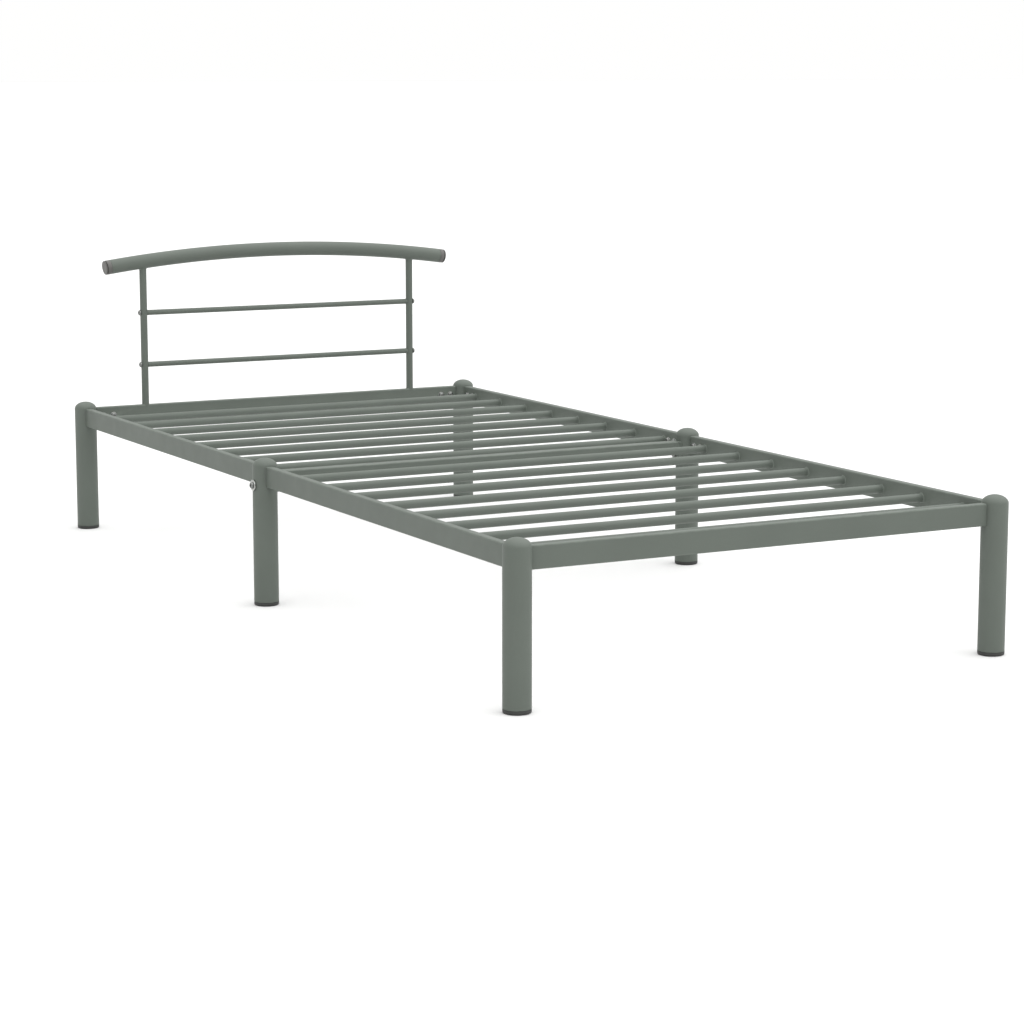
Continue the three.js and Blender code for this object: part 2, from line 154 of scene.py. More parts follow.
class Sketch:
    """The node tree of one material."""

    def __init__(self, name: str) -> None:
        """Starts a material with a Principled shader.

        Args:
            name: The material's name.
        """
        self.material = bpy.data.materials.new(name)
        self.material.use_nodes = True
        self.tree = self.material.node_tree
        self.shader = self.tree.nodes["Principled BSDF"]
        self.place = self.add("ShaderNodeTexCoord", output="Object")

    def add(
        self,
        kind: str,
        settings: dict[str, object] | None = None,
        inputs: dict[int | str, object] | None = None,
        output: int | str = 0,
    ) -> Value:
        """Adds a node.

        Args:
            kind: The node's type.
            settings: Its settings, set first. "stops" is a ramp's list of (place, value).
            inputs: A value or another node's output for each of its sockets.
            output: Which of its outputs is wanted.

        Returns:
            The wanted output.
        """
        node = self.tree.nodes.new(kind)
        for name, setting in (settings or {}).items():
            if name == "stops":
                self._set_stops(node.color_ramp, setting)
            else:
                setattr(node, name, setting)
        for key, value in (inputs or {}).items():
            self._feed(node.inputs[key], value)
        return Value(self, node.outputs[output])

    def _set_stops(self, ramp: bpy.types.ColorRamp, stops: Sequence[Band]) -> None:
        """Sets a ramp's stops.

        Args:
            ramp: The ramp, which has two.
            stops: The place and the grey value of each stop.
        """
        for element, (place, value) in zip(ramp.elements, stops):
            element.position = place
            element.color = (value, value, value, 1.0)

    def _feed(self, socket: bpy.types.NodeSocket, value: object) -> None:
        """Links an output to a socket, or sets the socket's own value.

        Args:
            socket: The input socket.
            value: An output, or what the socket itself is set to.
        """
        if isinstance(value, Value):
            self.tree.links.new(value.socket, socket)
        elif isinstance(value, tuple) and len(value) < len(socket.default_value):
            socket.default_value = (*value, 1.0)
        else:
            socket.default_value = value

    def finish(self, **inputs: object) -> bpy.types.Material:
        """Feeds the shader.

        Args:
            **inputs: A value or an output for each shader socket, with _ for a blank in its name.

        Returns:
            The finished material.
        """
        for name, value in inputs.items():
            self._feed(self.shader.inputs[name.replace("_", " ")], value)
        return self.material

    def noise(self, grain: float, detail: float = 2.0, stretch: Vector | None = None) -> Value:
        """A cloudy pattern.

        Args:
            grain: The size of its clouds, in metres.
            detail: How many finer layers it has.
            stretch: How much finer the pattern is along each axis.

        Returns:
            The pattern, from 0 to 1.
        """
        place = self.place
        if stretch is not None:
            multiply = {"operation": "MULTIPLY"}
            place = self.add("ShaderNodeVectorMath", multiply, {0: place, 1: stretch})
        inputs = {"Vector": place, "Scale": 1 / grain, "Detail": detail}
        return self.add("ShaderNodeTexNoise", inputs=inputs)

    def sharpened(self, value: Value, band: Band) -> Value:
        """The value stretched so that the band's low end becomes 0 and its high end 1."""
        stops = [(band[0], 0.0), (band[1], 1.0)]
        return self.add("ShaderNodeValToRGB", {"stops": stops}, {"Fac": value})

    def blend(self, share: Value, first: Colour | Value, second: Colour | Value) -> Value:
        """A mix of two colours: the first where the share is 0, the second where it is 1."""
        colours = {0: share, 6: first, 7: second}
        return self.add("ShaderNodeMix", {"data_type": "RGBA"}, colours, output=2)

    def relief(self, height: Value, depth: float) -> Value:
        """A normal that follows a height from 0 to 1, with the depth of 1 in metres."""
        inputs = {"Strength": 1.0, "Distance": depth, "Height": height}
        return self.add("ShaderNodeBump", inputs=inputs)

    def edge(self) -> Value:
        """How tightly the surface is rounded, from 0 to 1, as the pieces' meshes carry it."""
        return self.add("ShaderNodeAttribute", {"attribute_name": "edge"}, output="Fac")


def scaled(colour: Colour, factor: float) -> Colour:
    """A colour made lighter or darker by a factor."""
    return (colour[0] * factor, colour[1] * factor, colour[2] * factor)


@dataclass(frozen=True)
class Finish(ABC):
    """How a surface looks."""

    name: str
    slot: Slot

    def material(self) -> bpy.types.Material:
        """The finish's material, which is made the first time it is asked for."""
        return bpy.data.materials.get(self.name) or self.shade(Sketch(self.name))

    @abstractmethod
    def shade(self, sketch: Sketch) -> bpy.types.Material:
        """Draws the material."""


@dataclass(frozen=True)
class PowderCoat(Finish):
    """Satin powder coat: a fine orange peel, slightly thinner and lighter on tight edges."""

    name: str = "satin_powder_coat"
    slot: Slot = Slot.PAINT
    colour: Colour = (0.103, 0.119, 0.103)
    mottle: float = 0.085
    mottle_grain: float = 90 * MM
    edge_gain: float = 1.35
    thin_grain: float = 14 * MM
    thin_band: Band = (0.3, 0.7)
    thin_share: float = 0.8
    thin_roughness: float = 0.05
    dust_grain: float = 0.9 * MM
    dust_band: Band = (0.62, 0.78)
    dust_share: float = 0.25
    peel_grain: float = 2.2 * MM
    peel_depth: float = 0.06 * MM
    fine_peel_grain: float = 0.44 * MM
    fine_peel_share: float = 0.18
    gloss_grain: float = 30 * MM
    roughness: float = 0.50
    roughness_spread: float = 0.18
    specular: float = 0.26

    def shade(self, sketch: Sketch) -> bpy.types.Material:
        """Draws the powder coat.

        Args:
            sketch: The material to draw in.

        Returns:
            The material.
        """
        clouds = sketch.noise(self.mottle_grain, detail=3.0)
        dust = sketch.sharpened(sketch.noise(self.dust_grain, detail=1.0), self.dust_band)
        dark, light = scaled(self.colour, 1 - self.mottle), scaled(self.colour, 1 + self.mottle)
        pale = scaled(self.colour, self.edge_gain)
        thin = sketch.edge() * sketch.sharpened(sketch.noise(self.thin_grain), self.thin_band)
        worn = sketch.blend(thin * self.thin_share, sketch.blend(clouds, dark, light), pale)
        coat = sketch.blend(dust * self.dust_share, worn, pale)
        fine_peel = sketch.noise(self.fine_peel_grain) * self.fine_peel_share
        peel = sketch.noise(self.peel_grain, detail=1.5) + fine_peel
        unevenness = sketch.noise(self.gloss_grain, detail=4.0) - 0.5
        gloss = self.roughness + unevenness * self.roughness_spread
        return sketch.finish(
            Base_Color=coat,
            Roughness=gloss + thin * self.thin_roughness,
            Specular_IOR_Level=self.specular,
            Normal=sketch.relief(peel, self.peel_depth),
        )


@dataclass(frozen=True)
class MouldedPlastic(Finish):
    """Moulded plastic with a spark-eroded grain and pale scuffs."""

    name: str = "foot_cap_plastic"
    slot: Slot = Slot.FOOT_PLASTIC
    colour: Colour = (0.031, 0.032, 0.030)
    cloud_grain: float = 12 * MM
    cloud_range: Band = (0.88, 1.14)
    scuff_gain: float = 2.4
    scuff_grain: float = 5 * MM
    scuff_band: Band = (0.58, 0.72)
    scuff_share: float = 0.18
    edge_scuff_share: float = 0.5
    scuff_roughness: float = 0.25
    grain: float = 0.55 * MM
    grain_depth: float = 0.03 * MM
    roughness: float = 0.52
    roughness_spread: float = 0.1
    specular: float = 0.4

    def shade(self, sketch: Sketch) -> bpy.types.Material:
        """Draws the plastic.

        Args:
            sketch: The material to draw in.

        Returns:
            The material.
        """
        clouds = sketch.noise(self.cloud_grain, detail=3.0)
        dark, light = (scaled(self.colour, factor) for factor in self.cloud_range)
        flattened = Vector((1.0, 1.0, 7.0))
        streaks = sketch.noise(self.scuff_grain, detail=4.0, stretch=flattened)
        share = self.scuff_share + sketch.edge() * self.edge_scuff_share
        scuffs = sketch.sharpened(streaks, self.scuff_band) * share
        body = sketch.blend(clouds, dark, light)
        unevenness = (clouds - 0.5) * self.roughness_spread
        pits = sketch.noise(self.grain, detail=1.0)
        return sketch.finish(
            Base_Color=sketch.blend(scuffs, body, scaled(self.colour, self.scuff_gain)),
            Roughness=self.roughness + scuffs * self.scuff_roughness + unevenness,
            Specular_IOR_Level=self.specular,
            Normal=sketch.relief(pits, self.grain_depth),
        )


@dataclass(frozen=True)
class ZincPlate(Finish):
    """Zinc plate on steel, faintly blue in places and straw-coloured in others."""

    name: str = "bright_zinc_plate"
    slot: Slot = Slot.ZINC
    cool: Colour = (0.37, 0.39, 0.38)
    warm: Colour = (0.405, 0.41, 0.385)
    tint_grain: float = 4 * MM
    tint_band: Band = (0.35, 0.65)
    dull_gain: float = 0.6
    dull_grain: float = 1.5 * MM
    dull_band: Band = (0.45, 0.75)
    dull_share: float = 0.35
    dull_roughness: float = 0.22
    roughness: float = 0.24
    spangle_grain: float = 0.35 * MM
    spangle_depth: float = 0.012 * MM

    def shade(self, sketch: Sketch) -> bpy.types.Material:
        """Draws the zinc plate.

        Args:
            sketch: The material to draw in.

        Returns:
            The material.
        """
        tint = sketch.sharpened(sketch.noise(self.tint_grain), self.tint_band)
        dull = sketch.sharpened(sketch.noise(self.dull_grain, detail=3.0), self.dull_band)
        spangle = sketch.noise(self.spangle_grain, detail=1.0)
        plate = sketch.blend(tint, self.cool, self.warm)
        dulled = scaled(self.cool, self.dull_gain)
        return sketch.finish(
            Base_Color=sketch.blend(dull * self.dull_share, plate, dulled),
            Metallic=1.0,
            Roughness=self.roughness + dull * self.dull_roughness,
            Normal=sketch.relief(spangle, self.spangle_depth),
        )


PAINT = PowderCoat()
FOOT_PLASTIC = MouldedPlastic()
PLUG_PLASTIC = MouldedPlastic(
    name="arch_plug_plastic",
    slot=Slot.PLUG_PLASTIC,
    colour=(0.100, 0.098, 0.093),
    scuff_gain=1.25,
    roughness=0.48,
)
ZINC = ZincPlate()
GREY_ZINC = ZincPlate(
    name="grey_zinc_plate",
    cool=(0.205, 0.215, 0.210),
    warm=(0.245, 0.248, 0.235),
    roughness=0.28,
)


# ---- Shapes ----


def spaced(low: float, high: float, steps: int) -> list[float]:
    """Evenly spaced numbers from low to high, with both ends."""
    return [low + (high - low) * step / steps for step in range(steps + 1)]


def quarter_round(centre: Band, reach: float, rise: float, steps: int) -> list[Band]:
    """A quarter of an ellipse, from its widest point to its top.

    Args:
        centre: Its centre, as (radius, height).
        reach: Its half width.
        rise: Its height, below 0 if it goes down.
        steps: How many steps it has.

    Returns:
        Its points, as (radius, height).
    """
    return [
        (centre[0] + reach * math.cos(angle), centre[1] + rise * math.sin(angle))
        for angle in spaced(0.0, TURN / 4, steps)
    ]


def bearing(angle: float) -> Vector:
    """The flat direction at an angle."""
    return Vector((math.cos(angle), math.sin(angle)))


def rounded_outline(
    width: float, height: float, corner: float, steps: int = 6, beside: float = 0.12
) -> Outline:
    """A rectangle with round corners.

    Args:
        width: Its size along the first axis.
        height: Its size along the second axis.
        corner: The radius of its corners.
        steps: How many steps each corner has.
        beside: How far past each corner another point keeps the flat side flat, in radii.

    Returns:
        Its points, anticlockwise and centred on the origin.
    """
    points = []
    for quarter, (sign_x, sign_y) in enumerate([(1, 1), (-1, 1), (-1, -1), (1, -1)]):
        centre = Vector((sign_x * (width / 2 - corner), sign_y * (height / 2 - corner)))
        start = quarter * TURN / 4
        out, ahead = bearing(start), bearing(start + TURN / 4)
        points.append(centre + (out - ahead * beside) * corner)
        for angle in spaced(start, start + TURN / 4, steps):
            points.append(centre + bearing(angle) * corner)
        points.append(centre + (ahead - out * beside) * corner)
    return points


def circle(radius: float, sides: int, flats: int = 0) -> Outline:
    """A circle round the origin.

    Args:
        radius: Its radius, or half the size across its flats.
        sides: How many points it has.
        flats: How many flats it has, or 0 if it is round.

    Returns:
        Its points, or one point if the radius is 0.
    """
    if radius == 0:
        return [Vector((0.0, 0.0))]
    points = []
    for angle in spaced(0.0, TURN, sides)[:-1]:
        facet = TURN / flats if flats else 0.0
        reach = radius / math.cos(angle % facet - facet / 2) if flats else radius
        points.append(bearing(angle) * reach)
    return points


def grown(outline: Outline, distance: float) -> Outline:
    """An outline moved outward by a distance, or inward if it is below 0."""
    return [point * (1 + distance / max(point.length, MM)) for point in outline]


def stretched(outline: Outline, width: float, height: float) -> Outline:
    """An outline with its width and its height multiplied."""
    return [Vector((point.x * width, point.y * height)) for point in outline]


def laid(outline: Outline, place: Matrix, depth: float | Depth = 0.0) -> Ring:
    """An outline laid in space, at a depth along the place's Z that may change round it."""
    depths = [depth(point) if callable(depth) else depth for point in outline]
    return [place @ Vector((point.x, point.y, z)) for point, z in zip(outline, depths)]


def saddle(reach: float, axis: float, sign: int = 1, back: float = 0.0) -> Depth:
    """The depth of an end that is hollowed to fit a round tube.

    Args:
        reach: The radius of the hollow.
        axis: How far along the tube's axis is.
        sign: Which way the end faces.
        back: How far the end is cut back.

    Returns:
        The depth for a point whose first number is across the tube.
    """
    return lambda point: sign * (axis - math.sqrt(reach**2 - point.x**2) - back)


def axes(x: Vector, y: Vector, z: Vector, origin: Vector) -> Matrix:
    """A place with its three directions and its origin."""
    return Matrix.Translation(origin) @ Matrix((x, y, z)).transposed().to_4x4()


def along(axis: Vector, origin: Vector) -> Matrix:
    """A place at an origin, whose Z points along an axis."""
    return Matrix.Translation(origin) @ axis.to_track_quat("Z", "Y").to_matrix().to_4x4()


def crosswise(origin: Vector) -> Matrix:
    """A place at an origin, whose Z points across the bed and whose Y points up."""
    return axes(LENGTHWAYS, UP, ACROSS, origin)


def run(outline: Outline, place: Matrix, low: float, high: float, bays: int = 1) -> list[Ring]:
    """Rings of one outline along a stretch of the place's Z."""
    return [laid(outline, place, depth) for depth in spaced(low, high, bays)]


def tube_outlines(width: float, height: float) -> tuple[Outline, Outline]:
    """The outside and the inside of a rectangular tube."""
    hollow = (width - 2 * TUBE_WALL, height - 2 * TUBE_WALL, TUBE_CORNER - TUBE_WALL)
    return rounded_outline(width, height, TUBE_CORNER), rounded_outline(*hollow)


def middle(node: str) -> Vector:
    """The middle of a node's box."""
    low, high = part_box(node)
    return (low + high) / 2


def size(node: str) -> Vector:
    """The size of a node's box."""
    low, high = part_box(node)
    return high - low


class Draft:
    """The points and faces of one piece, before its mesh is made."""

    def __init__(self) -> None:
        """Starts with nothing."""
        self.points: list[Vector] = []
        self.faces: list[tuple[int, ...]] = []
        self.marks: list[int] = []

    def skin(self, rings: Sequence[Ring], closed: bool = False, mark: int = 0) -> "Draft":
        """Covers a row of rings with faces.

        Args:
            rings: The rings, all with as many points, or with one point where the row closes.
            closed: Whether the last ring joins the first.
            mark: Which of the piece's finishes the faces have.

        Returns:
            The draft itself.
        """
        starts = []
        for ring in rings:
            starts.append(len(self.points))
            self.points.extend(ring)
        firsts = range(len(rings) if closed else len(rings) - 1)
        for first in firsts:
            second = (first + 1) % len(rings)
            self._strip(starts[first], len(rings[first]), starts[second], len(rings[second]))
        self.marks += [mark] * (len(self.faces) - len(self.marks))
        return self

    def _strip(self, first: int, first_size: int, second: int, second_size: int) -> None:
        """Adds the faces between two rings.

        Args:
            first: The first ring's first point.
            first_size: How many points the first ring has.
            second: The second ring's first point.
            second_size: How many points the second ring has.
        """
        size = max(first_size, second_size)
        for index in range(size):
            following = (index + 1) % size
            if first_size == 1:
                face = (first, second + following, second + index)
            elif second_size == 1:
                face = (first + index, first + following, second)
            else:
                face = (first + index, first + following, second + following, second + index)
            self.faces.append(face)

    def turn(
        self,
        profile: Sequence[tuple[float, ...]],
        sides: int,
        place: Matrix,
        closed: bool = False,
        mark: int = 0,
    ) -> "Draft":
        """Turns a profile about Z.

        Args:
            profile: Its points, each (radius, height) or (half width, height, flats).
            sides: How many points go round.
            place: Where the turned body goes.
            closed: Whether the last point joins the first, as on a ring.
            mark: Which of the piece's finishes the faces have.

        Returns:
            The draft itself.
        """
        rings = [
            laid(circle(radius, sides, *flats), place, height)
            for radius, height, *flats in profile
        ]
        return self.skin(rings, closed, mark)

    def mesh(self, name: str) -> bpy.types.Mesh:
        """Makes the mesh, with its faces outward.

        Args:
            name: The mesh's name.

        Returns:
            The mesh.
        """
        mesh = bpy.data.meshes.new(name)
        mesh.from_pydata(self.points, [], self.faces)
        body = bmesh.new()
        body.from_mesh(mesh)
        bmesh.ops.recalc_face_normals(body, faces=body.faces)
        body.to_mesh(mesh)
        body.free()
        return mesh


@dataclass(frozen=True)
class Hole:
    """A round hole to drill through a piece."""

    centre: Vector
    axis: Vector
    radius: float
    depth: float
    sides: int = 32

    def cutter(self) -> bpy.types.Object:
        """The drill's shape, as an object."""
        half = self.depth / 2
        profile = [(0.0, -half), (self.radius, -half), (self.radius, half), (0.0, half)]
        mesh = Draft().turn(profile, self.sides, along(self.axis, self.centre)).mesh("drill")
        drill = bpy.data.objects.new("drill", mesh)
        bpy.context.scene.collection.objects.link(drill)
        return drill


def drilled(mesh: bpy.types.Mesh, holes: Sequence[Hole]) -> bpy.types.Mesh:
    """Drills holes through a mesh.

    Args:
        mesh: The mesh, which is used up if there are holes.
        holes: The holes.

    Returns:
        The drilled mesh.
    """
    if not holes:
        return mesh
    blank = bpy.data.objects.new("blank", mesh)
    bpy.context.scene.collection.objects.link(blank)
    drills = [hole.cutter() for hole in holes]
    for drill in drills:
        cut = blank.modifiers.new(drill.name, "BOOLEAN")
        cut.operation = "DIFFERENCE"
        cut.solver = "EXACT"
        cut.object = drill
    evaluated = blank.evaluated_get(bpy.context.evaluated_depsgraph_get())
    result = bpy.data.meshes.new_from_object(evaluated)
    for used in [blank, *drills]:
        worn_out = used.data
        bpy.data.objects.remove(used)
        bpy.data.meshes.remove(worn_out)
    return result


def mark_edges(mesh: bpy.types.Mesh, flat: float = 180.0, tight: float = 420.0) -> None:
    """Stores how tightly the surface is rounded at each point, as the attribute "edge".

    Args:
        mesh: The mesh.
        flat: The curvature, one over metres, that counts as 0.
        tight: The curvature that counts as 1.
    """
    shortest = 0.01 * MM
    body = bmesh.new()
    body.from_mesh(mesh)
    marks = []
    for point in body.verts:
        bend = 0.0
        for edge in point.link_edges:
            if len(edge.link_faces) == 2:
                first, second = (face.calc_center_median() for face in edge.link_faces)
                across = max((first - second).length, shortest)
                bend = max(bend, edge.calc_face_angle(0.0) / across)
        marks.append(min(1.0, max(0.0, (bend - flat) / (tight - flat))))
    body.free()
    mesh.attributes.new("edge", "FLOAT", "POINT").data.foreach_set("value", marks)


# ---- Fasteners and welds ----


@dataclass(frozen=True)
class Fastener:
    """A button-head bolt with a hexagon socket, along +Z from its seat at the origin."""

    head: float
    head_height: float
    shank: float
    socket: float
    washer: float = 0.0
    washer_height: float = 0.0
    threaded: float = 0.0
    thread_pitch: float = 1.25 * MM
    thread_depth: float = 0.35 * MM
    tip_chamfer: float = 0.8 * MM
    head_edge: float = 0.9 * MM
    seat_round: float = 0.25 * MM
    crown: float = 0.5 * MM  # from the socket's chamfer out to where the dome starts
    dome_steps: int = 8
    socket_flats: int = 6
    socket_chamfer: float = 0.35 * MM
    socket_floor: float = 0.42  # these two are shares of the head's height
    socket_point: float = 0.25
    washer_play: float = 0.2 * MM
    washer_burr: float = 0.1 * MM
    washer_chamfer: float = 0.15 * MM
    washer_roll: float = 0.5 * MM
    washer_gap: float = 0.02 * MM

    def shank_profile(self, reach: float) -> list[Band]:
        """The shank's section, with its thread.

        Args:
            reach: How far its tip is from the seat.

        Returns:
            The section, from its tip up.
        """
        radius = self.shank / 2
        thread = self.tip_chamfer - reach
        points = [(0.0, -reach), (radius - 2 * self.thread_depth, -reach), (radius, thread)]
        turns = int(max(0.0, self.threaded - self.tip_chamfer) / self.thread_pitch)
        for turn in range(turns):
            height = thread + turn * self.thread_pitch
            points.append((radius - self.thread_depth, height + self.thread_pitch / 2))
            points.append((radius, height + self.thread_pitch))
        return points

    def add_to(self, draft: Draft, place: Matrix, reach: float) -> None:
        """Adds the bolt, with the first finish, and its washer, with the second.

        Args:
            draft: The draft.
            place: Where the bolt goes, with Z out of its head.
            reach: How far the bolt's tip is from the seat.
        """
        seat = self.washer_height
        top = seat + self.head_height
        radius = self.head / 2
        flat = self.socket / 2
        rim = flat / math.cos(TURN / self.socket_flats / 2) + self.seat_round
        dome_start = (rim + self.crown, seat + self.head_edge)
        dome_reach = radius - rim - self.crown
        dome_rise = self.head_height - self.head_edge
        profile = [
            *self.shank_profile(reach),
            (self.shank / 2, seat),
            (radius - self.seat_round, seat),
            (radius, seat + self.seat_round),
            *quarter_round(dome_start, dome_reach, dome_rise, self.dome_steps),
            (rim, top),
            (flat, top - self.socket_chamfer, self.socket_flats),
            (flat, seat + self.socket_floor * self.head_height, self.socket_flats),
            (0.0, seat + self.socket_point * self.head_height),
        ]
        draft.turn(profile, TURNED_SIDES, place)
        if self.washer:
            draft.turn(self.washer_profile(), TURNED_SIDES, place, closed=True, mark=1)

    def washer_profile(self) -> list[Band]:
        """The washer's section: a stamped ring, rolled over on its top edge."""
        bore = self.shank / 2 + self.washer_play
        outer = self.washer / 2
        top = self.washer_height - self.washer_gap
        roll = min(self.washer_roll, top / 2)
        return [
            (bore, 0.0),
            (outer - self.washer_burr, 0.0),
            (outer, self.washer_burr),
            (outer, top - roll),
            (outer - 0.3 * roll, top - 0.3 * roll),
            (outer - roll, top),
            (bore + self.washer_chamfer, top),
            (bore, top - self.washer_chamfer),
        ]


@dataclass(frozen=True)
class WeldBead:
    """A bead of weld, flared out to the end of a tube and rippled where the tube is round."""

    size: float
    length: float
    ripples: int = 0
    ripple: float = 0.14
    steps: int = 5

    def flare(self) -> list[Band]:
        """How far it stands out, and how far from the tube's end, from its top to its foot."""
        return quarter_round((self.size, self.length), -self.size, -self.length, self.steps)

    def outlines(
        self, radius: float, sides: int, phase: float, pinched: bool = False
    ) -> list[tuple[Outline, float]]:
        """The bead round a round tube.

        Args:
            radius: The tube's radius.
            sides: How many points go round.
            phase: Where its ripples start.
            pinched: Whether it keeps to the two ends of the first axis, as on a narrow rail.

        Returns:
            Its outlines, each with its distance from the tube's end, from its top to its foot.
        """
        rows = []
        for stand, height in self.flare():
            outline = []
            for angle in spaced(0.0, TURN, sides)[:-1]:
                spread = math.cos(angle) ** 2 if pinched else 1.0
                wave = 1 + self.ripple * math.sin(self.ripples * angle + phase)
                outline.append(bearing(angle) * (radius + stand * spread * wave))
            rows.append((outline, height))
        return rows


# ---- Sub-assemblies ----


@dataclass
class SubAssembly(ABC):
    """A group of pieces that are made together."""

    sharp_angle: float = field(default=math.radians(32), kw_only=True)

    @abstractmethod
    def build(self) -> None:
        """Makes all the pieces."""

    def add_piece(
        self, node: str, draft: Draft, *finishes: Finish, holes: Sequence[Hole] = ()
    ) -> None:
        """Makes a piece that stands for a node of the frame.

        Args:
            node: The node.
            draft: The piece's shape.
            *finishes: How it looks. The draft's marks say which faces have which.
            holes: Holes to drill through it, if it has one finish.
        """
        mesh = drilled(draft.mesh(node), holes)
        mesh.polygons.foreach_set("use_smooth", [True] * len(mesh.polygons))
        mesh.set_sharp_from_angle(angle=self.sharp_angle)
        mark_edges(mesh)
        mesh.materials.clear()
        for finish in finishes:
            mesh.materials.append(finish.material())
        if not holes:
            mesh.polygons.foreach_set("material_index", draft.marks)
        piece = bpy.data.objects.new(f"{node}_finished", mesh)
        bpy.context.scene.collection.objects.link(piece)
        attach(piece, "root")
        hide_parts(node)
        names = ", ".join(finish.name for finish in finishes)
        log.info("%s: %d faces, %s", piece.name, len(mesh.polygons), names)


@dataclass
class Legs(SubAssembly):
    """The six legs and their foot caps."""

    dome_rise: float = 15.5 * MM
    dome_steps: int = 20
    rim_inside: float = 0.3 * MM
    rim_outside: float = 0.4 * MM
    wall_start: float = 30 * MM
    wall_end: float = 1 * MM  # under the dome
    wall_steps: int = 6
    cap_lip: float = 7 * MM
    cap_edge: float = 3 * MM
    cap_edge_steps: int = 8
    cap_wall: float = 2.5 * MM
    cap_floor: float = 4 * MM
    cap_round: float = 0.5 * MM
    spigot_lead: float = 1.5 * MM
    spigot_taper: float = 0.6 * MM
    dish: float = 0.8 * MM
    dish_radius: float = 0.58  # a share of the leg's radius
    dish_slope: float = 0.7 * MM
    gate_radius: float = 2.2 * MM
    gate_rise: float = 0.3 * MM
    gate_slope: float = 0.2 * MM
    sides: int = 96

    def leg_profile(self, bottom: float, top: float) -> list[Band]:
        """A leg's section: up the inside, over the bottom rim, up the outside and over the dome.

        Args:
            bottom: The height of its open bottom.
            top: The height of its top.

        Returns:
            The section, from the underside of its dome to its top.
        """
        shoulder = top - self.dome_rise
        inner = LEG_RADIUS - TUBE_WALL
        inner_steps = 12
        under = quarter_round((0.0, shoulder), inner, self.dome_rise - TUBE_WALL, inner_steps)
        over = quarter_round((0.0, shoulder), LEG_RADIUS, self.dome_rise, self.dome_steps)
        heights = spaced(self.wall_start, shoulder - self.wall_end, self.wall_steps)
        return [
            (0.0, under[-1][1]),
            *reversed(under[:-1]),
            (inner, bottom + self.rim_inside),
            (inner + self.rim_inside, bottom),
            (LEG_RADIUS - self.rim_outside, bottom),
            (LEG_RADIUS, bottom + self.rim_outside),
            (LEG_RADIUS, bottom + 2 * self.rim_outside),
            *((LEG_RADIUS, height) for height in heights),
            *over[:-1],
            (0.0, top),
        ]

    def cap_profile(self, top: float) -> list[Band]:
        """A foot cap's section.

        Args:
            top: The height of the spigot's top.

        Returns:
            The section, from the middle of its dished underside to the floor of its hollow.
        """
        spigot = LEG_RADIUS - TUBE_WALL - FIT
        hollow = spigot - self.cap_wall
        dish_end = LEG_RADIUS * self.dish_radius
        corner = (LEG_RADIUS - self.cap_edge, self.cap_edge)
        edge = quarter_round(corner, self.cap_edge, -self.cap_edge, self.cap_edge_steps)
        return [
            (0.0, self.dish - self.gate_rise),
            (self.gate_radius, self.dish - self.gate_rise),
            (self.gate_radius + self.gate_slope, self.dish),
            (dish_end, self.dish),
            (dish_end + self.dish_slope, 0.0),
            *reversed(edge),
            (LEG_RADIUS, self.cap_edge + 0.8 * self.cap_round),
            (LEG_RADIUS, self.cap_lip - self.cap_round),
            (LEG_RADIUS - 0.3 * self.cap_round, self.cap_lip - 0.3 * self.cap_round),
            (LEG_RADIUS - self.cap_round, self.cap_lip),
            (spigot, self.cap_lip),
            (spigot, top - self.spigot_lead),
            (spigot - self.spigot_taper, top),
            (hollow, top),
            (hollow, self.cap_floor),
            (0.0, self.cap_floor),
        ]

    def build(self) -> None:
        """Makes the legs and the caps."""
        for row in Row:
            for side in Side:
                self.build_leg(row, side)

    def build_leg(self, row: Row, side: Side) -> None:
        """Makes one leg and its cap.

        Args:
            row: The leg's row.
            side: The leg's side.
        """
        node = f"leg_{row.value}_{side.word}"
        cap_node = f"foot_cap_{row.value}_{side.word}"
        low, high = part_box(node)
        centre = middle(node)
        foot = Matrix.Translation((centre.x, centre.y, 0.0))
        leg = Draft().turn(self.leg_profile(low.z, high.z), self.sides, foot)
        holes = []
        if row is Row.MID:
            bolt = middle(f"centre_bolt_{side.word}")
            spot = Vector((centre.x, bolt.y, bolt.z))
            holes.append(Hole(spot, ACROSS, BOLT_HOLE_RADIUS, 3 * LEG_RADIUS))
        self.add_piece(node, leg, PAINT, holes=holes)
        cap = Draft().turn(self.cap_profile(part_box(cap_node)[1].z), self.sides, foot)
        self.add_piece(cap_node, cap, FOOT_PLASTIC)


